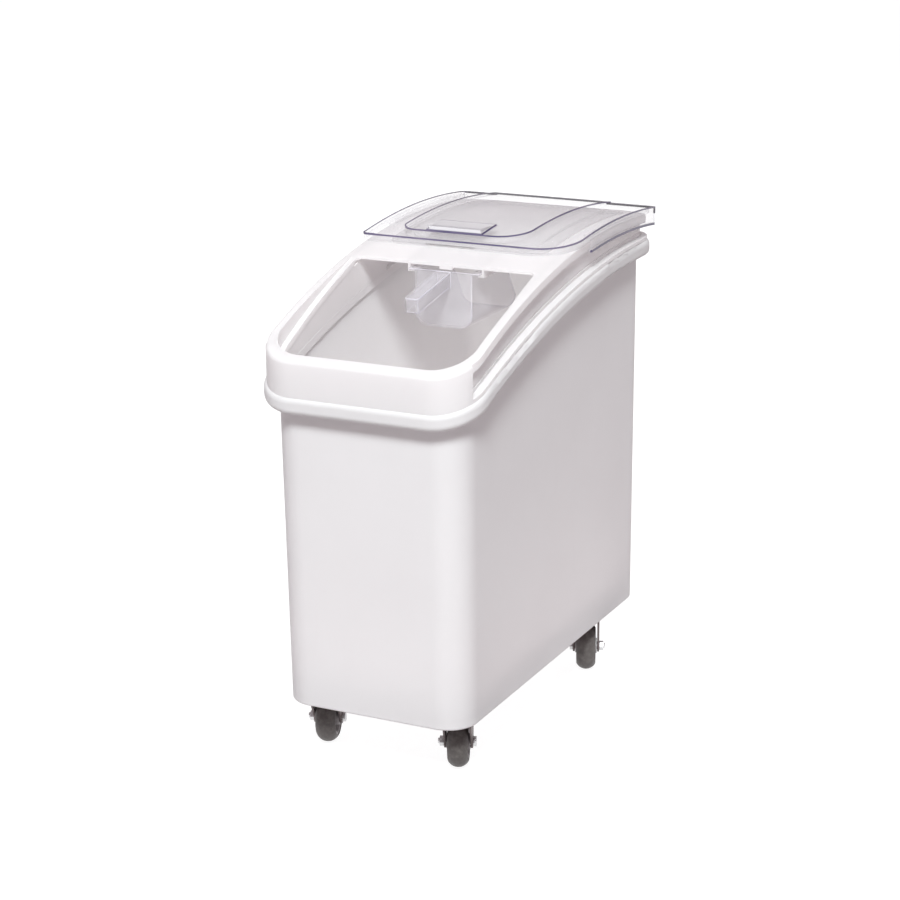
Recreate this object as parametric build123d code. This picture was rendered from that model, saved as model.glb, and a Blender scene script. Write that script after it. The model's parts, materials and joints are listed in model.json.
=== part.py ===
from build123d import *
import os
from math import sqrt

os.makedirs("parts", exist_ok=True)

# Whole bin, in millimetres: +Z up, the low front faces -Y, the origin is on the floor under the centre
bin_length = 700.0
bin_width = 340.0

# Slope of the collar and lid: round an axis across the bin, which is the lid's slide axis
deck_radius = 1250.0
deck_crest_y = 180.0
deck_crest_z = 721.0
deck_above_rim = 44.0

# Slope of the tub's rim, where the collar sits
seam_radius = 1700.0
seam_crest_y = 290.0

# How far cutters run past what they cut, and columns past the slopes
slack = 10.0
column_drop = 100.0
column_rise = 80.0

# Tub
tub_wall = 4.0
tub_floor = 6.0
rim_overhang = 20.0
rim_height = 24.0
rim_round = 8.0
rim_groove_width = 6.0
rim_groove_depth = 16.0
tub_corner = 45.0
tub_draft_front = 9.0
tub_draft_side = 3.5
tub_foot_round = 3.0

# Collar: the moulded frame with the front mouth, the rear opening and the lid's rails
collar_inset = 4.0
collar_wall = 3.0
deck_thickness = 3.5
mouth_side_margin = 23.0
mouth_front_margin = 24.0
mouth_corner = 44.0
mouth_sink_angle = 5.5
mouth_rim_width = 8.5
mouth_lip_depth = 6.0
mouth_top_corner = 10.0
crossbar_front_y = -69.0
crossbar_depth = 67.0
rear_opening_side_margin = 44.0
rear_opening_rear_margin = 40.0
rear_opening_corner = 16.0
seal_lip_depth = 9.0
seal_lip_wall = 2.5
seal_lip_fit = 0.5
lip_end = 12.0
seat_thickness = 2.5
front_band_depth = 35.0
rail_step = 2.5
rail_lip = 12.0
rail_lip_lap = 1.0
rail_recess = 11.0
foot_height = 5.0
wall_groove_height = 3.0
wall_groove_depth = 1.2
band_round = 6.0
rebate_width = 6.0
rebate_depth = 1.5

# Sliding lid, shown pushed back over the rear deck
lid_front_y = -12.0
lid_rear_y = 338.0
lid_wall = 3.0
lid_lift = 8.5
lid_left_corner = 26.0
lid_right_corner = 58.0
lid_rear_corner = 14.0
lid_lip_gap = 0.8
lid_side_gap = 1.2
lid_skirt_depth = 17.0
lid_hook_height = 3.0
lid_hook_reach = 4.6
lid_skirt_start_y = 76.0
lid_runner_inset = 7.5
lid_runner_width = 4.0
lid_runner_gap = 0.35
panel_half_width = 100.0
panel_centre_x = -12.0
panel_setback = 13.0
panel_left_corner = 26.0
panel_right_corner = 48.0
panel_height = 8.0
panel_fade_angle = 1.1
pull_centre_x = -21.0
pull_width = 90.0
pull_depth = 52.0
pull_height = 9.0
notch_width = 80.0
notch_height = 4.5

# Rear cover in the collar's rear opening
cover_wall = 2.5
cover_flange = 5.0
cover_fit = 0.4
cover_panel_inset = 16.0
cover_panel_height = 4.0
cover_panel_corner = 32.0

# Scoop on the two hooks under the crossbar
scoop_half_width = 46.0
scoop_front_y = -77.0
scoop_length = 150.0
scoop_height = 83.0
scoop_corner = 22.0
scoop_wall = 2.5
scoop_cutback = 38.0
scoop_flange = 11.0
scoop_flange_length = 66.0
scoop_handle_length = 104.0
scoop_handle_width = 23.0
scoop_handle_height = 22.0
scoop_handle_droop = 10.0
scoop_handle_drop = 1.0
scoop_handle_corner = 5.0
hook_width = 3.0
hook_lip = 6.5
hook_lip_height = 3.5
hook_length = 58.0
hook_gap = 1.0
hook_seat = 0.3
stop_width = 20.0
stop_drop = 4.0
stop_depth = 9.0

# Casters
wheel_radius = 37.5
tyre_width = 30.0
tyre_crown = 9.0
core_radius = 27.0
hub_radius = 12.0
hub_width = 34.0
trail = 24.0
axle_radius = 4.0
sleeve_radius = 6.0
running_fit = 0.05
side_play = 0.8
fork_wall = 3.0
fork_eye = 10.0
axle_across_corners = 15.0
axle_head = 5.0
axle_nut_height = 6.5
axle_tail = 2.5
wheel_web = 8.0
wheel_rim_wall = 4.0
wheel_rim_step = 1.0
crown_gap = 6.0
crown_radius = 22.0
seat_height = 4.0
ball_radius = 2.3
ball_outset = 2.0
ball_fit = 0.3
race_wall = 2.5
race_cap = 2.5
race_play = 1.0
kingpin_radius = 5.0
kingpin_head_radius = 8.5
kingpin_head = 3.0
kingpin_play = 0.3
plate_length = 66.0
plate_width = 56.0
plate_thickness = 2.5
plate_corner = 8.0
screw_inset = 9.0
screw_radius = 2.5
screw_length = 4.0
screw_end_gap = 0.3
screw_head = 3.0
screw_across_flats = 8.0
swivel_clearance = 2.5
caster_side_inset = 62.0
caster_front_inset = 88.0
caster_rear_inset = 144.0
caster_x = bin_width / 2 - caster_side_inset
caster_front_y = caster_front_inset - bin_length / 2
caster_rear_y = bin_length / 2 - caster_rear_inset

# Way each caster's wheel trails at rest, in degrees round +Z from +X, and whether it has a brake
casters = {
    "front_left": (-caster_x, caster_front_y, 108.0, True),
    "front_right": (caster_x, caster_front_y, 112.0, True),
    "rear_left": (-caster_x, caster_rear_y, -98.0, False),
    "rear_right": (caster_x, caster_rear_y, -68.0, False),
}

# Brake pedal of the front casters
pedal_pivot_u = 37.0
pedal_pivot_drop = 5.5
pedal_pin_radius = 2.0
pedal_barrel = 4.0
pedal_wall = 2.5
pedal_reach = 44.0
pedal_slope = 14.0
pedal_pad_length = 22.0
pedal_pad_width = 42.0
pedal_shoe_width = 20.0
pedal_shoe_clear = 5.2
pedal_shoe_start = 8.0
pedal_shoe_end = 20.0
pedal_shoe_drop = 24.0
pedal_corner = 5.0
pin_head = 1.0
pin_head_lap = 1.2

# Heights that follow from the casters
axle_z = wheel_radius
crown_low = 2 * wheel_radius + crown_gap
crown_top = crown_low + fork_wall
seat_top = crown_top + seat_height
ball_z = seat_top + ball_fit + ball_radius
race_inner_top = ball_z + ball_radius + ball_fit
race_top = race_inner_top + race_cap
floor_low = race_top + plate_thickness
tub_low = crown_top + swivel_clearance
race_outer_radius = crown_radius + race_wall

# Plan sizes that follow from the bin's
half_length = bin_length / 2
half_width = bin_width / 2
tub_half_x = half_width - rim_overhang
tub_half_y = half_length - rim_overhang
rim_corner = tub_corner + rim_overhang
collar_half_x = half_width - collar_inset
collar_half_y = half_length - collar_inset
collar_corner = rim_corner - collar_inset
mouth_half_x = collar_half_x - mouth_side_margin
mouth_front_y = -collar_half_y + mouth_front_margin
crossbar_rear_y = crossbar_front_y + crossbar_depth
rear_opening_half_x = collar_half_x - rear_opening_side_margin
rear_opening_rear_y = collar_half_y - rear_opening_rear_margin
rail_half_x = collar_half_x - rail_step
recess_half_x = collar_half_x - rail_recess
recess_front_y = -collar_half_y + front_band_depth
deck_axis_z = deck_crest_z - deck_radius
seam_crest_z = deck_crest_z - deck_above_rim
seam_axis_z = seam_crest_z - seam_radius


def deck_z(y, lift=0.0):
    """Height of the surface that lies lift above the deck, at y."""
    return deck_axis_z + sqrt((deck_radius + lift) ** 2 - (y - deck_crest_y) ** 2)


def seam_z(y):
    """Height of the tub's rim at y."""
    return seam_axis_z + sqrt(seam_radius**2 - (y - seam_crest_y) ** 2)


# Columns that are cut to the slopes run from below the collar to above the lid
column_low = seam_z(-half_length) - column_drop
column_top = deck_crest_z + column_rise
column_span = column_top - column_low


def drum(radius, centre_y, centre_z):
    """A solid drum across the whole bin, whose top is one of the slopes."""
    return Pos(0, centre_y, centre_z) * Rot(0, 90, 0) * Cylinder(radius, bin_width + 6 * slack)


def deck_drum(lift):
    return drum(deck_radius + lift, deck_crest_y, deck_axis_z)


def seam_drum(lift):
    return drum(seam_radius + lift, seam_crest_y, seam_axis_z)


def block(x0, x1, y0, y1, z0, z1):
    size = Box(x1 - x0, y1 - y0, z1 - z0)
    return Pos((x0 + x1) / 2, (y0 + y1) / 2, (z0 + z1) / 2) * size


def plan(half_x, front_y, rear_y, front_corner, rear_corner, front_left_corner=None):
    """A rounded rectangle in the floor plane; its front left corner may differ from the right one."""
    middle = (front_y + rear_y) / 2
    sheet = Pos(0, middle) * Rectangle(2 * half_x, rear_y - front_y)
    rear = sheet.vertices().filter_by(lambda v: v.Y > middle)
    sheet = fillet(rear, radius=rear_corner)
    front = sheet.vertices().group_by(Axis.Y)[0]
    if front_left_corner is None:
        return fillet(front, radius=front_corner)
    sheet = fillet(front.sort_by(Axis.X)[0], radius=front_left_corner)
    return fillet(sheet.vertices().group_by(Axis.Y)[0].sort_by(Axis.X)[-1], radius=front_corner)


def column(outline, past=0.0):
    """An upright column on an outline; a cutter runs past both ends of the others."""
    return extrude(Pos(0, 0, column_low - past) * outline, amount=column_span + 2 * past)


def slab(x0, x1, y0, y1):
    """A box that runs past both ends of the columns."""
    return block(x0, x1, y0, y1, column_low - slack, column_top + slack)


def tapered_body(offset, z0, z1):
    """The tub's tapered form, drawn in by offset, between two heights."""

    def section(z):
        share = (seam_crest_z - z) / (seam_crest_z - tub_low)
        half_x = tub_half_x - offset - tub_draft_side * share
        front_y = -tub_half_y + offset + tub_draft_front * share
        corner = tub_corner - offset
        return Pos(0, 0, z) * plan(half_x, front_y, tub_half_y - offset, corner, corner)

    return loft([section(z0), section(z1)], ruled=True)


def screw_places():
    """Plan position of every caster screw."""
    for x, y, _, _ in casters.values():
        for side in (-1, 1):
            for end in (-1, 1):
                dx = side * (plate_width / 2 - screw_inset)
                dy = end * (plate_length / 2 - screw_inset)
                yield x + dx, y + dy


def make_tub():
    shell = tapered_body(0, tub_low, seam_crest_z + slack) & seam_drum(0)
    shell = fillet(shell.edges().group_by(Axis.Z)[0], radius=tub_foot_round)
    shell -= tapered_body(tub_wall, floor_low + tub_floor, seam_crest_z + 2 * slack)
    shell -= tapered_body(tub_wall, tub_low - slack, floor_low)
    rim = column(plan(half_width, -half_length, half_length, rim_corner, rim_corner)) & seam_drum(0)
    rim -= seam_drum(-rim_height)
    rim = fillet(rim.edges().filter_by(Axis.Z, reverse=True), radius=rim_round)
    rim -= tapered_body(tub_wall / 2, column_low, column_top)
    # The rolled rim is open below, with a groove between its lip and the wall
    groove_half_x = tub_half_x + rim_groove_width
    groove_half_y = tub_half_y + rim_groove_width
    groove_corner = tub_corner + rim_groove_width
    groove = column(plan(groove_half_x, -groove_half_y, groove_half_y, groove_corner, groove_corner))
    groove -= tapered_body(0, column_low - slack, column_top + slack)
    groove &= seam_drum(rim_groove_depth - rim_height)
    tub = shell + (rim - groove)
    for x, y in screw_places():
        tub -= Pos(x, y, floor_low + screw_length / 2) * Cylinder(screw_radius + running_fit, screw_length)
    return tub


def collar_plan(inset):
    """The collar's outline behind its front band, drawn in at the sides and the rear."""
    half_x = collar_half_x - inset
    return plan(half_x, -collar_half_y, collar_half_y - inset, collar_corner, collar_corner - inset)


def mouth_plan(grow):
    """The front mouth's outline, or the same outline further out."""
    return plan(
        mouth_half_x + grow,
        mouth_front_y - grow,
        crossbar_front_y + grow,
        mouth_corner + grow,
        mouth_top_corner + grow,
    )


def sunk_drum(lift):
    """The drum of the mouth's rim: the deck tipped down towards the front about the crossbar's edge."""
    edge = Pos(0, crossbar_front_y, deck_z(crossbar_front_y))
    return edge * Rot(mouth_sink_angle, 0, 0) * edge.inverse() * deck_drum(lift)


def roof(lift, grow):
    """Everything below the deck, which steps down to the mouth's sunk rim between the rails."""
    return deck_drum(lift) - (column(mouth_plan(mouth_rim_width + grow), slack) - sunk_drum(lift))


def rear_opening_plan(grow, corner=rear_opening_corner):
    """The rear opening's outline, or the same outline further out."""
    front_y = crossbar_rear_y - grow
    return plan(rear_opening_half_x + grow, front_y, rear_opening_rear_y + grow, corner + grow, corner + grow)


def make_hook():
    """The right-hand hook: a web under the crossbar with a ledge that the scoop's flange rests on."""
    ledge_top = scoop_top_z - scoop_wall - hook_seat
    ledge_low = ledge_top - hook_lip_height
    inner = scoop_half_width + scoop_flange + hook_gap
    rear_y = crossbar_front_y + hook_length
    web = block(inner, inner + hook_width, crossbar_front_y, rear_y, ledge_low, column_top)
    ledge = block(inner - hook_lip, inner + hook_width, crossbar_front_y, rear_y, ledge_low, ledge_top)
    return (web & deck_drum(-deck_thickness / 2)) + ledge


def make_collar():
    solid = column(plan(collar_half_x, -collar_half_y, collar_half_y, collar_corner, collar_corner))
    solid &= deck_drum(0)
    upper = solid.edges().filter_by(Axis.Z, reverse=True)
    solid = fillet(upper.filter_by(lambda e: e.center().Z > column_low + slack), radius=band_round)
    solid &= roof(0, 0)
    # Behind the front band the side walls step in under the rails, and in again along a thin groove
    behind_band = slab(-half_width, half_width, recess_front_y, half_length)
    rail_plan = column(collar_plan(rail_step), slack)
    wall_plan = column(collar_plan(rail_recess), slack)
    groove_inset = rail_recess + wall_groove_depth
    groove_plan = column(collar_plan(groove_inset), slack)
    solid -= (behind_band - rail_plan) - seam_drum(foot_height)
    solid -= ((behind_band - wall_plan) & deck_drum(-rail_lip)) - seam_drum(foot_height)
    groove_low = 2 * foot_height
    groove = (behind_band - groove_plan) & seam_drum(groove_low + wall_groove_height)
    solid -= groove - seam_drum(groove_low)
    # Hollow from below, leaving the deck, the rails' inner faces and the outer walls
    inner_inset = groove_inset + collar_wall
    inner_front_y = -collar_half_y + collar_wall
    inner_rear_y = collar_half_y - inner_inset
    inner_corner = collar_corner - collar_wall
    rear_corner = collar_corner - inner_inset
    hollow = column(plan(collar_half_x - inner_inset, inner_front_y, inner_rear_y, inner_corner, rear_corner))
    front_plan = plan(collar_half_x - collar_wall, inner_front_y, inner_rear_y, inner_corner, rear_corner)
    front_half = slab(-half_width, half_width, -half_length, recess_front_y - collar_wall)
    hollow += column(front_plan) & front_half
    solid -= hollow & roof(-deck_thickness, collar_wall)
    # Each rail is hollow below too, between its outer lip and the side wall
    rail_hollow = column(collar_plan(rail_step + collar_wall)) - wall_plan
    rail_rear_y = collar_half_y - collar_corner
    rail_hollow &= slab(-half_width, half_width, recess_front_y + collar_wall, rail_rear_y)
    solid -= (rail_hollow & deck_drum(-deck_thickness)) - deck_drum(-rail_lip - rail_lip_lap)
    solid -= column(mouth_plan(0), slack)
    solid -= column(rear_opening_plan(0), slack)
    # A short lip hangs from the mouth's rim
    lip = column(mouth_plan(seal_lip_wall)) - column(mouth_plan(0), slack)
    lip -= slab(-half_width, half_width, crossbar_front_y - lip_end, half_length)
    solid += (lip & sunk_drum(-deck_thickness / 2)) - sunk_drum(-deck_thickness - mouth_lip_depth)
    # The walls stand on the tub's rim on an inward seat, whose sealing lip reaches down inside the tub
    seal_inset = tub_wall + seal_lip_fit
    seal_outside = tapered_body(seal_inset, column_low, column_top)
    seal_inside = tapered_body(seal_inset + seal_lip_wall, column_low - slack, column_top + slack)
    seat = (hollow & seam_drum(seat_thickness)) - seam_drum(0) - seal_inside
    seal = ((seal_outside - seal_inside) & seam_drum(seat_thickness)) - seam_drum(-seal_lip_depth)
    solid = (solid - seam_drum(0)) + seat + seal
    # Rebate for the rear cover
    solid -= column(rear_opening_plan(rebate_width), slack) - deck_drum(-rebate_depth)
    hook = make_hook()
    solid += hook + mirror(hook, Plane.YZ)
    # The stop between the hooks
    half_stop = stop_width / 2
    stop = slab(-half_stop, half_stop, crossbar_front_y, crossbar_front_y + stop_depth)
    stop &= deck_drum(-deck_thickness / 2)
    stop -= deck_drum(-deck_thickness - stop_drop)
    return solid + stop


scoop_top_z = deck_z(crossbar_front_y, -deck_thickness) - stop_drop - hook_gap


def make_rear_cover():
    outer = column(rear_opening_plan(rebate_width - cover_fit))
    flange = (outer & deck_drum(cover_wall - rebate_depth)) - deck_drum(-rebate_depth)
    panel_top = cover_wall - rebate_depth + cover_panel_height
    corner = cover_panel_corner + cover_panel_inset
    panel = column(rear_opening_plan(-cover_panel_inset, corner)) & deck_drum(panel_top)
    panel -= deck_drum(-rebate_depth)
    hollow = column(rear_opening_plan(-cover_panel_inset - cover_wall, corner), slack)
    hollow &= deck_drum(panel_top - cover_wall)
    lip = column(rear_opening_plan(-cover_fit)) - column(rear_opening_plan(-cover_fit - cover_wall), slack)
    lip = (lip & deck_drum(-rebate_depth)) - deck_drum(-rebate_depth - cover_flange)
    return flange + panel - hollow + lip


def make_sliding_lid():
    half_x = rail_half_x + lid_side_gap + lid_wall
    top = lid_lift + lid_wall
    skirt_rear_y = lid_rear_y - lid_rear_corner
    panel_top = top + panel_height
    panel_front_y = lid_front_y + panel_setback

    def panel_drum(lift):
        """The panel's drum, which comes down to the lid's top towards the rear."""
        edge = Pos(0, panel_front_y, deck_z(panel_front_y, panel_top))
        return edge * Rot(-panel_fade_angle, 0, 0) * edge.inverse() * deck_drum(lift)

    def tray(offset, lift, rear_y=lid_rear_y):
        right = lid_right_corner - offset
        left = lid_left_corner - offset
        outline = plan(half_x - offset, lid_front_y + offset, rear_y, right, lid_rear_corner, left)
        return column(outline) & deck_drum(lift)

    def panel(offset, lift):
        half = panel_half_width - offset
        past_rear = lid_rear_y + 2 * panel_right_corner
        right = panel_right_corner - offset
        left = panel_left_corner - offset
        outline = plan(half, panel_front_y + offset, past_rear, right, panel_right_corner, left)
        inside = slab(-half_width, half_width, lid_front_y, lid_rear_y)
        return (column(Pos(panel_centre_x, 0) * outline) & inside) & panel_drum(lift)

    def pull(offset):
        front_y = panel_front_y + offset
        rear_y = panel_front_y + pull_depth - offset
        side = Polyline(
            (front_y, column_low),
            (front_y, deck_z(panel_front_y, panel_top + pull_height) - offset),
            (rear_y, deck_z(panel_front_y + pull_depth, panel_top) - offset),
            (rear_y, column_low),
            close=True,
        )
        block = extrude(make_face(Plane.YZ * side), amount=pull_width / 2 - offset, both=True)
        return Pos(pull_centre_x, 0, 0) * block

    lid = tray(0, top) + panel(0, panel_top)
    lid += pull(0) & panel(0, panel_top + 2 * pull_height)
    lid -= tray(lid_wall, lid_lift, lid_rear_y + slack)
    lid -= panel(lid_wall, lid_lift + panel_height)
    lid -= pull(lid_wall) & panel(lid_wall, panel_top + 2 * pull_height)
    lid -= deck_drum(lid_lip_gap)
    # Side skirts that hug the rails, each with a hook under its rail and a runner on top of it
    skirt = slab(half_x - lid_wall, half_x, lid_skirt_start_y, skirt_rear_y) & deck_drum(lid_lift)
    skirt -= deck_drum(-lid_skirt_depth)
    hook = slab(half_x - lid_wall - lid_hook_reach, half_x, lid_skirt_start_y, skirt_rear_y)
    hook = (hook & deck_drum(lid_hook_height - lid_skirt_depth)) - deck_drum(-lid_skirt_depth)
    runner_x = rail_half_x - lid_runner_inset
    half_runner = lid_runner_width / 2
    runner = slab(runner_x - half_runner, runner_x + half_runner, lid_skirt_start_y, skirt_rear_y)
    runner = (runner & deck_drum(lid_lift + lid_wall / 2)) - deck_drum(lid_runner_gap)
    guides = skirt + hook + runner
    lid += guides
    lid += mirror(guides, Plane.YZ)
    # Finger notch in the front lip
    notch = slab(-notch_width / 2, notch_width / 2, lid_front_y - slack, lid_front_y + lid_wall)
    notch = Pos(pull_centre_x, 0, 0) * notch
    return lid - (notch & deck_drum(lid_lip_gap + notch_height))


def make_scoop():
    top = scoop_top_z
    low = top - scoop_height
    rear_y = scoop_front_y + scoop_length
    rough_top = top + slack

    def trough(offset, y0, y1):
        middle = (low + offset + rough_top) / 2
        sheet = Rectangle(2 * (scoop_half_width - offset), rough_top - low - offset)
        sheet = Plane.XZ * Pos(0, middle) * sheet
        corners = sheet.vertices().group_by(Axis.Z)[0]
        sheet = fillet(corners, radius=scoop_corner - offset)
        return Pos(0, y1, 0) * extrude(sheet, amount=y1 - y0)

    bowl = trough(0, scoop_front_y, rear_y) - trough(scoop_wall, scoop_front_y + scoop_wall, rear_y + slack)
    bowl -= block(-half_width, half_width, -half_length, half_length, top, rough_top + slack)
    slant = Polyline(
        (rear_y - scoop_cutback, top),
        (rear_y - scoop_cutback, rough_top),
        (rear_y + slack, rough_top),
        (rear_y + slack, low),
        (rear_y, low + scoop_corner),
        close=True,
    )
    bowl -= extrude(make_face(Plane.YZ * slant), amount=half_width, both=True)
    for side in (-1, 1):
        inner = scoop_half_width - scoop_wall / 2
        flange = block(inner, scoop_half_width + scoop_flange, 0, scoop_flange_length, top - scoop_wall, top)
        flange = Pos(0, scoop_front_y, 0) * flange
        if side < 0:
            flange = mirror(flange, Plane.YZ)
        bowl += flange
    # Handle: a channel open below, drooping forward from the back wall
    half = scoop_handle_width / 2
    height = scoop_handle_height
    grip = block(-half, half, -scoop_handle_length, slack, -height, 0)
    front_edges = grip.edges().filter_by(Axis.Z).filter_by(lambda e: e.center().Y < 0)
    grip = fillet(front_edges, radius=scoop_handle_corner)
    half -= scoop_wall
    grip -= block(-half, half, scoop_wall - scoop_handle_length, 2 * slack, -height - slack, -scoop_wall)
    root = Pos(0, scoop_front_y, top - scoop_handle_drop) * Rot(scoop_handle_droop, 0, 0)
    grip = root * grip
    grip -= block(-half_width, half_width, scoop_front_y + scoop_wall / 2, half_length, low, rough_top)
    return bowl + grip


def caster_frame(name):
    x, y, heading, _ = casters[name]
    return Pos(x, y, 0) * Rot(0, 0, heading)


def make_plate(name):
    x, y, _, _ = casters[name]
    sheet = RectangleRounded(plate_width, plate_length, plate_corner)
    plate = extrude(Pos(0, 0, race_top) * sheet, amount=plate_thickness)
    plate -= Pos(0, 0, race_top) * Cylinder(kingpin_radius, 4 * plate_thickness)
    for side in (-1, 1):
        for end in (-1, 1):
            across = side * (plate_width / 2 - screw_inset)
            place = Pos(across, end * (plate_length / 2 - screw_inset), race_top)
            plate -= place * Cylinder(screw_radius + running_fit, slack)
    return Pos(x, y, 0) * plate


def make_race(name):
    x, y, _, _ = casters[name]
    skirt_low = crown_top + race_play
    outline = Polyline(
        (kingpin_radius, race_inner_top),
        (crown_radius, race_inner_top),
        (crown_radius, skirt_low),
        (race_outer_radius, skirt_low),
        (race_outer_radius, race_inner_top),
        (race_outer_radius - race_wall, race_top),
        (kingpin_radius, race_top),
        close=True,
    )
    return Pos(x, y, 0) * revolve(make_face(Plane.XZ * outline), axis=Axis.Z)


def make_kingpin(name):
    x, y, _, _ = casters[name]
    head_top = crown_low - kingpin_play
    shank = Pos(0, 0, (head_top + floor_low) / 2) * Cylinder(kingpin_radius, floor_low - head_top)
    head = Pos(0, 0, head_top - kingpin_head / 2) * Cylinder(kingpin_head_radius, kingpin_head)
    head = fillet(head.edges().group_by(Axis.Z)[0], radius=kingpin_head / 2)
    return Pos(x, y, 0) * (shank + head)


def make_ball_ring(name):
    ring_radius = (kingpin_radius + crown_radius) / 2 + ball_outset
    return caster_frame(name) * (Pos(0, 0, ball_z) * Torus(ring_radius, ball_radius))


def make_fork(name):
    braked = casters[name][3]
    half_gap = hub_width / 2 + side_play
    crown = Pos(0, 0, crown_low + fork_wall / 2) * Cylinder(crown_radius - race_play, fork_wall)
    seat = Pos(0, 0, crown_top + seat_height / 2) * Cylinder(crown_radius - race_play, seat_height)
    # One cheek: a tapered plate from the crown down to the round eye at the axle
    back = crown_radius - race_play - fork_wall
    front = pedal_pivot_u + pedal_barrel if braked else trail + fork_eye - fork_wall
    low = crown_top - pedal_pivot_drop - pedal_barrel if braked else crown_low
    cheek = Polyline(
        (-back, crown_top),
        (front, crown_top),
        (front, low),
        (trail + fork_eye, axle_z),
        (trail - fork_eye, axle_z),
        close=True,
    )
    sheet = make_face(Plane.XZ * cheek) + Plane.XZ * Pos(trail, axle_z) * Circle(fork_eye)
    sheet -= Plane.XZ * Pos(trail, axle_z) * Circle(axle_radius + running_fit)
    if braked:
        pivot = Pos(pedal_pivot_u, crown_top - pedal_pivot_drop)
        sheet -= Plane.XZ * pivot * Circle(pedal_pin_radius + running_fit)
    bridge = block(-back, trail, -half_gap - fork_wall, half_gap + fork_wall, crown_low, crown_top)
    fork = crown + seat + bridge
    for side in (-1, 1):
        outer = Pos(0, side * (half_gap + fork_wall / 2), 0) * extrude(sheet, amount=fork_wall / 2, both=True)
        fork += outer
    fork -= Pos(0, 0, crown_top) * Cylinder(kingpin_radius + running_fit, 4 * slack)
    return caster_frame(name) * fork


def across_axle(radius, length):
    """A rod on the wheel's axle line, centred between the cheeks."""
    return Pos(trail, 0, axle_z) * Rot(90, 0, 0) * Cylinder(radius, length)


def make_axle_bolt(name):
    outside = hub_width / 2 + side_play + fork_wall
    beyond = axle_nut_height + axle_tail
    bolt = Pos(0, beyond / 2, 0) * across_axle(axle_radius, 2 * outside + beyond)
    head = extrude(RegularPolygon(axle_across_corners / 2, 6), amount=axle_head)
    head = Pos(trail, -outside - axle_head, axle_z) * Rot(-90, 0, 0) * head
    return caster_frame(name) * (bolt + head)


def make_axle_nut(name):
    outside = hub_width / 2 + side_play + fork_wall
    sheet = RegularPolygon(axle_across_corners / 2, 6) - Circle(axle_radius + running_fit)
    nut = extrude(sheet, amount=axle_nut_height)
    return caster_frame(name) * (Pos(trail, outside, axle_z) * Rot(-90, 0, 0) * nut)


def make_axle_sleeve(name):
    length = hub_width + 2 * side_play
    sleeve = across_axle(sleeve_radius, length) - across_axle(axle_radius + running_fit, length + slack)
    return caster_frame(name) * sleeve


def about_axle(section):
    """A section turned round the wheel's axle."""
    return Pos(trail, 0, axle_z) * Rot(90, 0, 0) * revolve(section, axis=Axis.Z)


def make_wheel_core(name):
    bore = sleeve_radius + running_fit
    half_hub = hub_width / 2
    half_rim = tyre_width / 2 - wheel_rim_step
    web = wheel_web / 2
    rim_inner = core_radius - wheel_rim_wall
    outline = Polyline(
        (bore, -half_hub),
        (hub_radius, -half_hub),
        (hub_radius + wheel_rim_step, -web),
        (rim_inner - wheel_rim_step, -web),
        (rim_inner, -half_rim),
        (core_radius, -half_rim),
        (core_radius, half_rim),
        (rim_inner, half_rim),
        (rim_inner - wheel_rim_step, web),
        (hub_radius + wheel_rim_step, web),
        (hub_radius, half_hub),
        (bore, half_hub),
        close=True,
    )
    return caster_frame(name) * about_axle(make_face(Plane.XZ * outline))


def make_tyre(name):
    half = tyre_width / 2
    side = wheel_radius - tyre_crown
    low = Polyline((core_radius, half), (core_radius, -half), (side, -half))
    tread = ThreePointArc((side, -half), (wheel_radius, 0), (side, half))
    close_line = Line((side, half), (core_radius, half))
    face = make_face(Plane.XZ * (low + tread + close_line))
    return caster_frame(name) * about_axle(face)


def make_pedal(name):
    pivot_z = crown_top - pedal_pivot_drop
    half = hub_width / 2
    half_pad = pedal_pad_width / 2
    half_wall = pedal_wall / 2
    barrel = Rot(90, 0, 0) * Cylinder(pedal_barrel, hub_width)
    arm = block(0, pedal_reach, -half, half, -half_wall, half_wall)
    pad = block(pedal_reach - pedal_pad_length, pedal_reach, -half_pad, half_pad, -half_wall, half_wall)
    pad = fillet(pad.edges().filter_by(Axis.Z), radius=pedal_corner)
    lever = Rot(0, pedal_slope, 0) * (arm + pad)
    # Shoe: stops a little above the tread, which it reaches when the pedal is pressed
    half_shoe = pedal_shoe_width / 2
    shoe = block(pedal_shoe_start, pedal_shoe_end, -half_shoe, half_shoe, -pedal_shoe_drop, -half_wall)
    tread = Rot(90, 0, 0) * Cylinder(wheel_radius + pedal_shoe_clear, 2 * pedal_shoe_width)
    shoe -= Pos(trail - pedal_pivot_u, 0, axle_z - pivot_z) * tread
    pedal = barrel + lever + shoe
    pedal -= Rot(90, 0, 0) * Cylinder(pedal_pin_radius + running_fit, 2 * hub_width)
    return caster_frame(name) * (Pos(pedal_pivot_u, 0, pivot_z) * pedal)


def make_pedal_pin(name):
    half_gap = hub_width / 2 + side_play + fork_wall
    pin = Rot(90, 0, 0) * Cylinder(pedal_pin_radius, 2 * half_gap + 2 * pin_head)
    for side in (-1, 1):
        head = Rot(90, 0, 0) * Cylinder(pedal_pin_radius + pin_head_lap, pin_head)
        pin += Pos(0, side * (half_gap + pin_head / 2), 0) * head
    return caster_frame(name) * (Pos(pedal_pivot_u, 0, crown_top - pedal_pivot_drop) * pin)


def make_plate_screws():
    screws = []
    for x, y in screw_places():
        shank_low = race_top
        shank_top = floor_low + screw_length - screw_end_gap
        shank = Pos(0, 0, (shank_low + shank_top) / 2) * Cylinder(screw_radius, shank_top - shank_low)
        head = Pos(0, 0, shank_low - screw_head) * extrude(
            RegularPolygon(screw_across_flats / sqrt(3), 6), amount=screw_head
        )
        screws.append(Pos(x, y, 0) * (shank + head))
    return Compound(children=screws)


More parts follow.
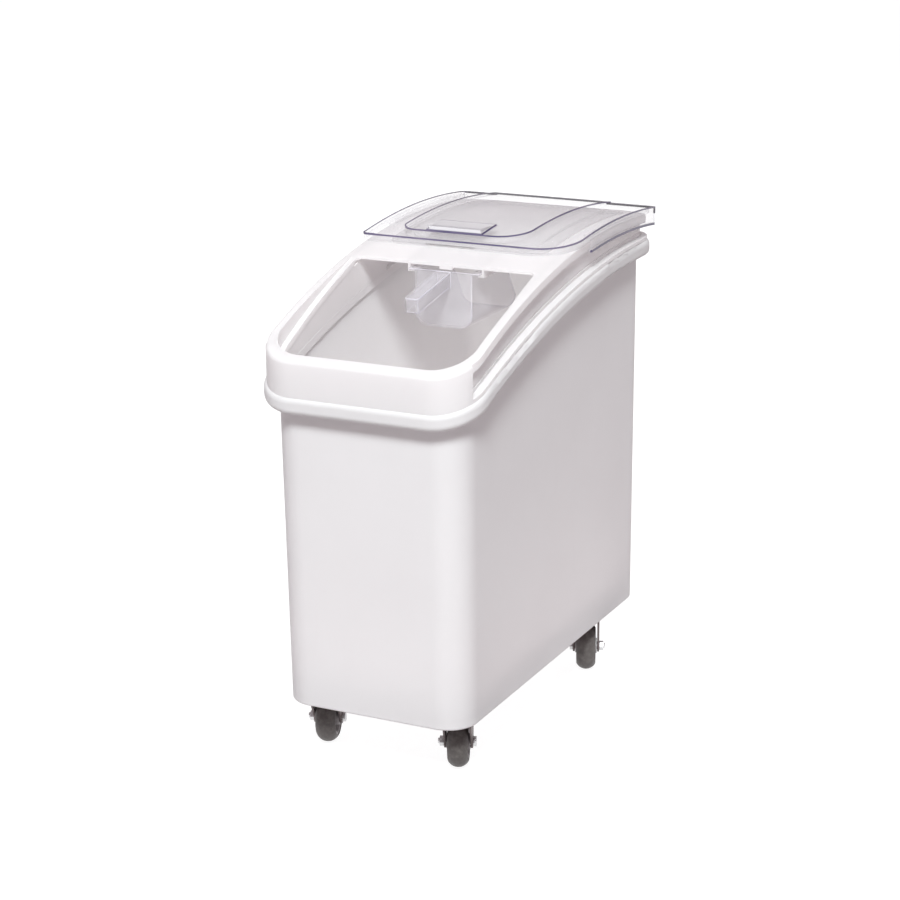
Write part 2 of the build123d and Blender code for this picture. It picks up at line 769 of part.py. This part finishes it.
nodes = {
    "tub": make_tub(),
    "collar": make_collar(),
    "rear_cover": make_rear_cover(),
    "sliding_lid": make_sliding_lid(),
    "scoop": make_scoop(),
    "plate_screws": make_plate_screws(),
}
for caster, (_, _, _, has_brake) in casters.items():
    nodes[f"{caster}_plate"] = make_plate(caster)
    nodes[f"{caster}_race"] = make_race(caster)
    nodes[f"{caster}_kingpin"] = make_kingpin(caster)
    nodes[f"{caster}_ball_ring"] = make_ball_ring(caster)
    nodes[f"{caster}_fork"] = make_fork(caster)
    nodes[f"{caster}_axle_bolt"] = make_axle_bolt(caster)
    nodes[f"{caster}_axle_nut"] = make_axle_nut(caster)
    nodes[f"{caster}_axle_sleeve"] = make_axle_sleeve(caster)
    nodes[f"{caster}_wheel_core"] = make_wheel_core(caster)
    nodes[f"{caster}_tyre"] = make_tyre(caster)
    if has_brake:
        nodes[f"{caster}_brake_pedal"] = make_pedal(caster)
        nodes[f"{caster}_pedal_pin"] = make_pedal_pin(caster)

for node, shape in nodes.items():
    export_step(shape, f"parts/{node}.step")
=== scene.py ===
import json
import math

import bmesh
import bpy
from mathutils import Matrix, Vector, kdtree


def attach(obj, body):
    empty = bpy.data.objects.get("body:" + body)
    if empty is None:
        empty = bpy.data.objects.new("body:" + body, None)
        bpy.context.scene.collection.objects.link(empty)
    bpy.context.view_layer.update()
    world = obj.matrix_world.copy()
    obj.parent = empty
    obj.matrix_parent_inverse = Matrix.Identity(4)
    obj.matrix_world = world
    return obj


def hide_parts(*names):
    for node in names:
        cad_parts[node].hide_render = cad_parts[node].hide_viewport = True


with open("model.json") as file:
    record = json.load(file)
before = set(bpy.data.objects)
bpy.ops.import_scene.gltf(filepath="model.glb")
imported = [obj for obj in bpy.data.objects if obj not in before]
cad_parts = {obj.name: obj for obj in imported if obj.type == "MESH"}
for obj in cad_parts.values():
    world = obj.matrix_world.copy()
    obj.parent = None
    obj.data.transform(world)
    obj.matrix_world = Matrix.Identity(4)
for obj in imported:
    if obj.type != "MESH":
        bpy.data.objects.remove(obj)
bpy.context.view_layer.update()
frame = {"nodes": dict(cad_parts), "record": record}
print("frame loaded")


class Wire:  # a node's output that can be used in sums
    def __init__(self, finish, socket):
        self.finish = finish
        self.socket = socket

    def work(self, operation, first, second):
        return self.finish.node("ShaderNodeMath", {"operation": operation}, {0: first, 1: second})

    def __add__(self, other):
        return self.work("ADD", self, other)

    def __radd__(self, other):
        return self.work("ADD", other, self)

    def __sub__(self, other):
        return self.work("SUBTRACT", self, other)

    def __rsub__(self, other):
        return self.work("SUBTRACT", other, self)

    def __mul__(self, other):
        return self.work("MULTIPLY", self, other)

    def __rmul__(self, other):
        return self.work("MULTIPLY", other, self)

    def high(self, other):
        return self.work("MAXIMUM", self, other)

    def low(self, other):
        return self.work("MINIMUM", self, other)

    def size(self):
        return self.work("ABSOLUTE", self, 0.0)

    def above(self, other):
        return self.work("GREATER_THAN", self, other)

    def root(self):
        return self.work("SQRT", self, 0.0)


class Finish:  # one material and its nodes
    def __init__(self, name):
        self.material = bpy.data.materials.new(name)
        self.material.use_nodes = True
        self.tree = self.material.node_tree
        self.tree.nodes.clear()
        self.place = self.node("ShaderNodeTexCoord", {}, {}, "Object")

    def node(self, kind, settings, sockets, output=0):
        made = self.tree.nodes.new(kind)
        stops = settings.pop("stops", ())
        for key, value in settings.items():
            setattr(made, key, value)
        for extra in stops[2:]:
            made.color_ramp.elements.new(extra[0])
        for number, (position, shade) in enumerate(stops):
            made.color_ramp.elements[number].position = position
            made.color_ramp.elements[number].color = (shade, shade, shade, 1)
        for key, value in sockets.items():
            found = [item for item in made.inputs if item.identifier == key]
            socket = found[0] if found else made.inputs[key]
            if isinstance(value, Wire):
                self.tree.links.new(value.socket, socket)
            else:
                socket.default_value = value
        found = [item for item in made.outputs if item.identifier == output]
        return Wire(self, found[0] if found else made.outputs[output])

    def noise(self, scale, detail=2.0, stretch=(1, 1, 1)):
        where = self.node("ShaderNodeMapping", {}, {"Vector": self.place, "Scale": stretch})
        return self.node("ShaderNodeTexNoise", {}, {"Vector": where, "Scale": scale, "Detail": detail})

    def ramp(self, value, *stops):
        return self.node("ShaderNodeValToRGB", {"stops": stops}, {"Fac": value})

    def blend(self, factor, first, second):
        sockets = {"Factor_Float": factor, "A_Color": first, "B_Color": second}
        return self.node("ShaderNodeMix", {"data_type": "RGBA"}, sockets, "Result_Color")

    def bump(self, height, distance, strength=1.0):
        return self.node("ShaderNodeBump", {}, {"Height": height, "Distance": distance, "Strength": strength})

    def axes(self):
        return [self.node("ShaderNodeSeparateXYZ", {}, {"Vector": self.place}, axis) for axis in "XYZ"]

    def fade(self, value, start, end):  # 0 at start, 1 at end, straight between
        sockets = {"Value": value, "From Min": start, "From Max": end}
        return self.node("ShaderNodeMapRange", {"clamp": True}, sockets)

    def surface(self, sockets, seeThrough=0.0, tint=(1, 1, 1, 1)):
        shader = self.node("ShaderNodeBsdfPrincipled", {}, sockets)
        if seeThrough:
            passing = self.node("ShaderNodeBsdfTranslucent", {}, {"Color": tint})
            shader = self.node("ShaderNodeMixShader", {}, {0: seeThrough, 1: shader, 2: passing})
        out = self.tree.nodes.new("ShaderNodeOutputMaterial")
        self.tree.links.new(shader.socket, out.inputs["Surface"])
        return self.material


# White moulded plastic: a fine orange-peel skin over slow ripples, and faint rubbed patches
tubLook = {"light": (0.886, 0.892, 0.898, 1), "dull": (0.838, 0.838, 0.845, 1), "peel": 1400, "ripple": 5.5}
collarLook = {"light": (0.965, 0.975, 0.98, 1), "dull": (0.925, 0.93, 0.94, 1), "peel": 1700, "ripple": 7.0}


def whitePlastic(name, look, roughness, glow=0.0):
    finish = Finish(name)
    patches = finish.ramp(finish.noise(look["ripple"], 3.0), (0.35, 0.0), (0.75, 1.0))
    scuffs = finish.ramp(finish.noise(38.0, 4.0, (1, 1, 0.25)), (0.60, 0.0), (0.78, 1.0))
    colour = finish.blend(patches * 0.5 + scuffs * 0.25, look["light"], look["dull"])
    height = finish.noise(look["peel"], 1.0) * 0.35 + finish.noise(look["ripple"] * 3, 1.0)
    return finish.surface({
        "Base Color": colour,
        "Roughness": roughness + patches * 0.06 - scuffs * 0.08,
        "Specular IOR Level": 0.42,
        "Normal": finish.bump(height, 0.0004, 0.35),
    }, glow, (1.0, 0.965, 0.965, 1))


# Clear polycarbonate: see-through sheet, with painted shade: dark lines along its crease lines and cut edges,
# standing in for the shade where light runs along the wall
deck = {"y": 0.180, "z": -0.529, "radius": 1.25}
# Painted shade lines along the lid's crease lines: width, soft fade and two shade colours
creaseShadeLook = {"width": 0.0016, "soft": 0.0008, "shade": (0.05, 0.04, 0.12, 1), "pale": (0.16, 0.13, 0.22, 1)}
pullOutline = {"middle": (-0.021, 0.027), "half": (0.045, 0.026), "corners": (0.001, 0.001, 0.001),
               "lifts": (0.0195,), "fall": 0.0192}
# The lid's front left corner, tighter than the solid's
lidCorner = {"middle": (-0.1417, 0.014), "radius": 0.026, "sharp": 0.008}
lidOutline = {"middle": (0.0, 0.163), "half": (0.1677, 0.175), "corners": (lidCorner["sharp"], 0.058, 0.014)}
lidCreases = [
    {**lidOutline, "lifts": (0.0115,)},
    {**lidOutline, "lifts": (-0.017,), "weight": 2.2},
    {"middle": (-0.012, 0.2205), "half": (0.100, 0.2195), "corners": (0.026, 0.048, 0.048), "lifts": (0.0195,),
     "fall": 0.0192},
    pullOutline,
]
# The lid's rear cut edge, painted dark as shade, thicker to the right
cutEdgeShade = {"x": (-0.10, 0.15), "y": (0.330, 0.3335), "reach": 0.007}


def outlineDistance(finish, outline):  # in plan, below zero inside the outline
    x, y, _ = finish.axes()
    across = x - outline["middle"][0]
    along = y - outline["middle"][1]
    left, right, rear = outline["corners"]
    front = left + across.above(0.0) * (right - left)
    corner = front + along.above(0.0) * (rear - front)
    sideways = across.size() - outline["half"][0] + corner
    lengthways = along.size() - outline["half"][1] + corner
    outside = (sideways.high(0.0) * sideways.high(0.0) + lengthways.high(0.0) * lengthways.high(0.0)).root()
    return outside + sideways.high(lengthways).low(0.0) - corner


# Where the painted crease shade goes: close to each outline, at each of its lifts
def creaseShadeMask(finish, outlines, lift):
    mask = 0.0
    for outline in outlines:
        width = creaseShadeLook["width"] * outline.get("weight", 1.0)
        away = outlineDistance(finish, outline)
        along = finish.axes()[1] - outline["middle"][1] + outline["half"][1]
        for level in outline["lifts"]:
            height = lift + along * outline.get("fall", 0.0) - level
            distance = (away * away + height * height).root()
            mask = finish.fade(distance, width + creaseShadeLook["soft"], width).high(mask)
    return mask


def clearPlastic(name, outlines, light, shade, alpha, roughness):
    finish = Finish(name)
    x, y, z = finish.axes()
    lift = ((y - deck["y"]) * (y - deck["y"]) + (z - deck["z"]) * (z - deck["z"])).root() - deck["radius"]
    clouds = finish.ramp(finish.noise(9.0, 2.0), (0.3, 0.0), (0.7, 1.0))
    scratches = finish.ramp(finish.noise(60.0, 3.0, (1, 0.08, 1)), (0.66, 0.0), (0.78, 1.0))
    drift = finish.ramp(finish.noise(16.0, 2.0), (0.35, 0.0), (0.65, 1.0))
    # The painted shade along the crease lines
    creaseShade = creaseShadeMask(finish, outlines, lift)
    milky = 0.0
    if pullOutline in outlines:
        # Painted shade along the lid's rear cut edge, wider to the right
        broad = y + finish.fade(x, *cutEdgeShade["x"]) * cutEdgeShade["reach"]
        creaseShade = finish.fade(broad, *cutEdgeShade["y"]).high(creaseShade)
        within = finish.fade(outlineDistance(finish, pullOutline), 0.0, -0.001)
        milky = within * finish.fade(lift, 0.0165, 0.0175)
    # Painted shade colour for the crease lines and the rear cut edge
    paintedCreaseShade = finish.blend(drift, creaseShadeLook["shade"], creaseShadeLook["pale"])
    return finish.surface({
        "Base Color": finish.blend(creaseShade, finish.blend(clouds, light, shade), paintedCreaseShade),
        "Roughness": roughness + scratches * 0.08,
        "Alpha": alpha + clouds * 0.05 + creaseShade * 0.8 + milky * 0.65,
        "IOR": 1.58,
        "Specular IOR Level": 0.5,
        "Normal": finish.bump(finish.noise(14.0, 1.0), 0.0003, 0.25),
    })


# Paint for the scoop's bevels: a pale painted highlight that drifts at random to a darker painted edge shade
def paintedEdgePlastic(name, first, second, alpha):
    finish = Finish(name)
    drift = finish.ramp(finish.noise(16.0, 2.0), (0.35, 0.0), (0.65, 1.0))
    return finish.surface({
        "Base Color": finish.blend(drift, first, second),
        "Roughness": 0.12 + drift * 0.1,
        "Alpha": alpha - drift * 0.12,
        "Specular IOR Level": 0.6,
    })


def steel(name, light, dark, roughness, metallic=0.9):
    finish = Finish(name)
    grain = finish.noise(420.0, 3.0, (1, 1, 0.2))
    stains = finish.ramp(finish.noise(55.0, 4.0), (0.4, 0.0), (0.7, 1.0))
    return finish.surface({
        "Base Color": finish.blend(stains, light, dark),
        "Metallic": metallic,
        "Roughness": roughness + grain * 0.14 + stains * 0.1,
        "Normal": finish.bump(grain, 0.0002, 0.3),
    })


def treadRubber(name, light, dark):
    finish = Finish(name)
    scuffs = finish.ramp(finish.noise(140.0, 5.0), (0.42, 0.0), (0.66, 1.0))
    dust = finish.ramp(finish.noise(30.0, 3.0), (0.45, 0.0), (0.8, 1.0))
    return finish.surface({
        "Base Color": finish.blend(scuffs * 0.5 + dust * 0.5, dark, light),
        "Roughness": 0.42 + scuffs * 0.2,
        "Specular IOR Level": 0.45,
        "Normal": finish.bump(finish.noise(700.0, 3.0), 0.0003, 0.5),
    })


finishes = {
    "tub": whitePlastic("tubPlastic", tubLook, 0.42, 0.3),
    "collar": whitePlastic("collarPlastic", collarLook, 0.34, 0.45),
    "lid": clearPlastic("lidPlastic", lidCreases, (0.96, 0.95, 0.975, 1), (0.90, 0.89, 0.92, 1), 0.16, 0.08),
    "cover": clearPlastic("coverPlastic", [], (0.88, 0.87, 0.87, 1), (0.82, 0.80, 0.81, 1), 0.50, 0.1),
    "scoop": clearPlastic("scoopPlastic", [], (0.84, 0.83, 0.88, 1), (0.78, 0.76, 0.80, 1), 0.22, 0.07),
    # The scoop's bevel paint: painted edge highlight and edge shade
    "edgeHighlight": paintedEdgePlastic("edgeHighlightPlastic", (0.90, 0.88, 0.93, 1), (0.62, 0.60, 0.72, 1), 0.75),
    "zinc": steel("zincSteel", (0.72, 0.72, 0.73, 1), (0.50, 0.50, 0.50, 1), 0.26),
    "fork": steel("forkSteel", (0.20, 0.165, 0.165, 1), (0.10, 0.08, 0.08, 1), 0.40, 0.6),
    "ball": steel("ballSteel", (0.75, 0.75, 0.76, 1), (0.55, 0.55, 0.55, 1), 0.15),
    "core": whitePlastic("wheelPlastic", {"light": (0.45, 0.44, 0.44, 1), "dull": (0.32, 0.31, 0.31, 1),
                                          "peel": 1500, "ripple": 30.0}, 0.4),
    "tread": treadRubber("treadRubber", (0.20, 0.185, 0.175, 1), (0.095, 0.085, 0.08, 1)),
}
print("finishes made")


def mergedCopy(node, flat=0.0):  # a CAD node's mesh with its loose triangles joined
    mesh = bmesh.new()
    mesh.from_mesh(frame["nodes"][node].data)
    bmesh.ops.remove_doubles(mesh, verts=mesh.verts, dist=0.00002)
    if flat:
        bmesh.ops.dissolve_limit(mesh, angle_limit=math.radians(flat), verts=mesh.verts, edges=mesh.edges)
    return mesh


def carriedNormals(data, node):  # gives a merged copy the CAD surface's own shading
    source = frame["nodes"][node].data
    tree = kdtree.KDTree(len(source.polygons))
    for face in source.polygons:
        tree.insert(face.center, face.index)
    tree.balance()
    spots = [source.vertices[loop.vertex_index].co for loop in source.loops]
    normals = []
    for face in data.polygons:
        old = source.polygons[tree.find(face.center)[1]]
        for loop in face.loop_indices:
            spot = data.vertices[data.loops[loop].vertex_index].co
            nearest = min(old.loop_indices, key=lambda item: (spots[item] - spot).length_squared)
            normals.append(source.corner_normals[nearest].vector)
    data.normals_split_custom_set(normals)


def addPiece(name, mesh, body, slot, looks, nodes=(), round=0.0, segments=2, paintedBevels=False):
    for face in mesh.faces:
        face.smooth = True
    data = bpy.data.meshes.new(name)
    mesh.to_mesh(data)
    mesh.free()
    if not round:
        carriedNormals(data, nodes[0])
    piece = bpy.data.objects.new(name, data)
    bpy.context.scene.collection.objects.link(piece)
    for look in looks:
        data.materials.append(finishes[look])
    if round:
        bevel = piece.modifiers.new("softEdges", "BEVEL")
        bevel.width = round
        bevel.segments = segments
        bevel.limit_method = "ANGLE"
        bevel.angle_limit = math.radians(26)
        bevel.harden_normals = True
        bevel.use_clamp_overlap = True
        if paintedBevels:
            # The bevels take the second material, the painted edge highlight
            bevel.material = 1
    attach(piece, body)
    if nodes:
        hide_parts(*nodes)
    return piece


# The moulded pieces keep their solids' shapes, the lid's front left corner made tighter; only the scoop gets
# rounded edges
moulded = {
    "tub": {"name": "tubBody", "body": "bin", "slot": "tub_plastic", "looks": ["tub"]},
    "collar": {"name": "collarFrame", "body": "bin", "slot": "collar_plastic", "looks": ["collar"]},
    "rear_cover": {"name": "rearCoverSheet", "body": "bin", "slot": "clear_plastic", "looks": ["cover"]},
    "sliding_lid": {"name": "slidingLidSheet", "body": "lid", "slot": "clear_plastic", "looks": ["lid"]},
    # The scoop's second material is the painted edge highlight on its bevels
    "scoop": {"name": "scoopShell", "body": "scoop", "slot": "scoop_plastic", "looks": ["scoop", "edgeHighlight"],
              "round": 0.0007, "paintedBevels": True},
}
for node, given in moulded.items():
    piece = addPiece(mesh=mergedCopy(node, 0.3 if "round" in given else 0.0), nodes=[node], **given)
    if node == "sliding_lid":
        for vertex in piece.data.vertices:
            across = lidCorner["middle"][0] - vertex.co.x
            along = lidCorner["middle"][1] - vertex.co.y
            if across > 0 and along > 0:
                reach = math.hypot(across, along)
                stretch = reach / max(across, along)
                most = (lidCorner["radius"] - lidCorner["sharp"]) * math.sqrt(2) + lidCorner["sharp"]
                factor = min(stretch, most / lidCorner["radius"])
                vertex.co.x = lidCorner["middle"][0] - across * factor
                vertex.co.y = lidCorner["middle"][1] - along * factor
print("moulded pieces made")


# The mouth's inner wall, from the rim's lip down to the seat on the tub's rim
mouthWall = {"halfX": 0.143, "frontY": -0.322, "corner": 0.044, "rearY": 0.020, "thickness": 0.0024,
             "sink": 5.5, "edge": (-0.069, 0.69595), "lipLift": -0.0085, "seam": (0.290, -1.023, 1.7022),
             "steps": 12, "sideSteps": 10}


def mouthOutline(inset):
    given = mouthWall
    halfX, frontY, corner = given["halfX"] + inset, given["frontY"] - inset, given["corner"] + inset
    rearY, sideSteps = given["rearY"], given["sideSteps"]
    side = [rearY + (frontY + corner - rearY) * step / sideSteps for step in range(sideSteps)]
    spots = [(-halfX, y) for y in side]
    for way in (-1, 1):
        for step in range(given["steps"] + 1):
            turn = math.radians(90 * step / given["steps"])
            if way > 0:
                turn = math.radians(90) - turn
            spots.append((way * (halfX - corner + corner * math.cos(turn)),
                          frontY + corner - corner * math.sin(turn)))
    return spots + [(halfX, y) for y in reversed(side)]


def sunkHeight(y, lift):  # the mouth's rim: the deck's arc, tipped down in front of the crossbar
    edgeY, edgeZ = mouthWall["edge"]
    turn = math.radians(mouthWall["sink"])
    middleY, middleZ = deck["y"] - edgeY, deck["z"] - edgeZ
    tippedY = edgeY + middleY * math.cos(turn) - middleZ * math.sin(turn)
    tippedZ = edgeZ + middleY * math.sin(turn) + middleZ * math.cos(turn)
    tipped = tippedZ + math.sqrt((deck["radius"] + lift) ** 2 - (y - tippedY) ** 2)
    return min(tipped, deck["z"] + math.sqrt((deck["radius"] + lift) ** 2 - (y - deck["y"]) ** 2))


def makeMouthWall():
    seamY, seamZ, seamRadius = mouthWall["seam"]
    mesh = bmesh.new()
    rows = []
    for (x, y), (outX, outY) in zip(mouthOutline(0.0), mouthOutline(mouthWall["thickness"])):
        top = sunkHeight(y, mouthWall["lipLift"])
        low = seamZ + math.sqrt(seamRadius ** 2 - (y - seamY) ** 2)
        corners = [(x, y, top), (x, y, low), (outX, outY, low), (outX, outY, top)]
        rows.append([mesh.verts.new(corner) for corner in corners])
    for first, second in zip(rows, rows[1:]):
        for k in range(4):
            mesh.faces.new([first[k], second[k], second[(k + 1) % 4], first[(k + 1) % 4]])
    mesh.faces.new(rows[0])
    mesh.faces.new(list(reversed(rows[-1])))
    bmesh.ops.recalc_face_normals(mesh, faces=mesh.faces)
    addPiece("mouthWall", mesh, "bin", "collar_plastic", ["collar"], round=0.0006)


makeMouthWall()
print("mouth wall made")

# Casters
casterLooks = {
    "plate": ("zinc", "zinc_steel", 0.0004),
    "race": ("zinc", "zinc_steel", 0.0006),
    "kingpin": ("zinc", "zinc_steel", 0.0003),
    "ball_ring": ("ball", "ball_steel", 0.0),
    "fork": ("fork", "fork_steel", 0.0006),
    "axle_bolt": ("zinc", "zinc_steel", 0.0004),
    "axle_nut": ("zinc", "zinc_steel", 0.0004),
    "axle_sleeve": ("zinc", "zinc_steel", 0.0002),
    "wheel_core": ("core", "wheel_plastic", 0.0005),
    "tyre": ("tread", "tread_rubber", 0.0),
    "brake_pedal": ("fork", "fork_steel", 0.0005),
    "pedal_pin": ("zinc", "zinc_steel", 0.0003),
}
bodyOf = {node: body for body, nodes in frame["record"]["behaviour"]["bodies"].items() for node in nodes}
for node in sorted(frame["nodes"]):
    kinds = [kind for kind in casterLooks if node.endswith(kind) and node not in moulded]
    if not kinds:
        continue
    look, slot, round = casterLooks[kinds[0]]
    flat = 0.3 if round else 0.0
    addPiece(node + "Dressed", mergedCopy(node, flat), bodyOf[node], slot, [look], [node], round)
addPiece("plateScrews", mergedCopy("plate_screws", 0.3), "bin", "zinc_steel", ["zinc"], ["plate_screws"],
         0.0004)
print("casters made")


# Studio
studio = {"floorSize": 60.0, "floorGlow": 0.92, "world": 0.345, "tint": (0.985, 0.86, 0.90, 1), "key": 705.0,
          "keyTint": (0.96, 1.0, 1.0), "insideTint": (1.0, 0.92, 0.91), "inside": 0.62, "back": 110.0}


def makeFloor():
    mesh = bmesh.new()
    bmesh.ops.create_grid(mesh, x_segments=1, y_segments=1, size=studio["floorSize"] / 2)
    data = bpy.data.meshes.new("studioFloor")
    mesh.to_mesh(data)
    mesh.free()
    floor = bpy.data.objects.new("studioFloor", data)
    bpy.context.scene.collection.objects.link(floor)
    finish = Finish("studioFloor")
    data.materials.append(finish.surface({
        "Base Color": (0.25, 0.25, 0.25, 1),
        "Roughness": 0.9,
        "Specular IOR Level": 0.0,
        "Emission Color": (1, 1, 1, 1),
        "Emission Strength": studio["floorGlow"],
    }))
    floor.visible_diffuse = False


def addLight(name, power, tint, size, place, target, glossy=True):
    data = bpy.data.lights.new(name, "AREA")
    data.energy = power
    data.color = tint
    data.shape = "RECTANGLE"
    data.size, data.size_y = size
    light = bpy.data.objects.new(name, data)
    bpy.context.scene.collection.objects.link(light)
    light.location = place
    aim = Vector(target) - Vector(place)
    light.rotation_mode = "QUATERNION"
    light.rotation_quaternion = aim.to_track_quat("-Z", "Y")
    light.visible_camera = False
    light.visible_glossy = glossy


def makeStudio():
    world = bpy.data.worlds.new("studioWorld")
    world.use_nodes = True
    world.node_tree.nodes["Background"].inputs["Strength"].default_value = studio["world"]
    world.node_tree.nodes["Background"].inputs["Color"].default_value = studio["tint"]
    bpy.context.scene.world = world
    addLight("keyLight", studio["key"], studio["keyTint"], (1.6, 1.6), (2.24, -4.96, 6.24), (0, 0, 0.4))
    addLight("backLight", studio["back"], studio["keyTint"], (2.4, 2.4), (-3.0, 5.4, 2.6), (0, 0, 0.4), False)
    # Stands in for the light that a thin white tub lets through its walls
    addLight("insideLight", studio["inside"], studio["insideTint"], (0.24, 0.56), (0, 0, 0.12), (0, 0, 0.7))
    bpy.context.scene.view_settings.view_transform = "Standard"
    bpy.context.scene.view_settings.look = "None"


def makeCamera():
    view = {"azimuth": 26.51, "elevation": 16.70, "roll": -0.56, "distance": 3.55072, "focal": 2352.73}
    view["aim"] = Vector((0, 0, 0.35))
    view["slide"] = (0.02737, -0.04557)
    azimuth, elevation, roll = (math.radians(view[key]) for key in ("azimuth", "elevation", "roll"))
    back = Vector((math.sin(azimuth) * math.cos(elevation), -math.cos(azimuth) * math.cos(elevation),
                   math.sin(elevation)))
    right = Vector((math.cos(azimuth), math.sin(azimuth), 0))
    up = back.cross(right)
    rolledRight = math.cos(roll) * right + math.sin(roll) * up
    rolledUp = math.cos(roll) * up - math.sin(roll) * right
    data = bpy.data.cameras.new("photoCamera")
    data.sensor_width = 36.0
    data.lens = 36.0 * view["focal"] / 900
    camera = bpy.data.objects.new("photoCamera", data)
    bpy.context.scene.collection.objects.link(camera)
    spot = view["aim"] + back * view["distance"] - rolledRight * view["slide"][0] - rolledUp * view["slide"][1]
    turn = Matrix((rolledRight, rolledUp, back)).transposed().to_4x4()
    camera.matrix_world = Matrix.Translation(spot) @ turn
    bpy.context.scene.camera = camera


makeFloor()
makeStudio()
makeCamera()
print("studio ready")
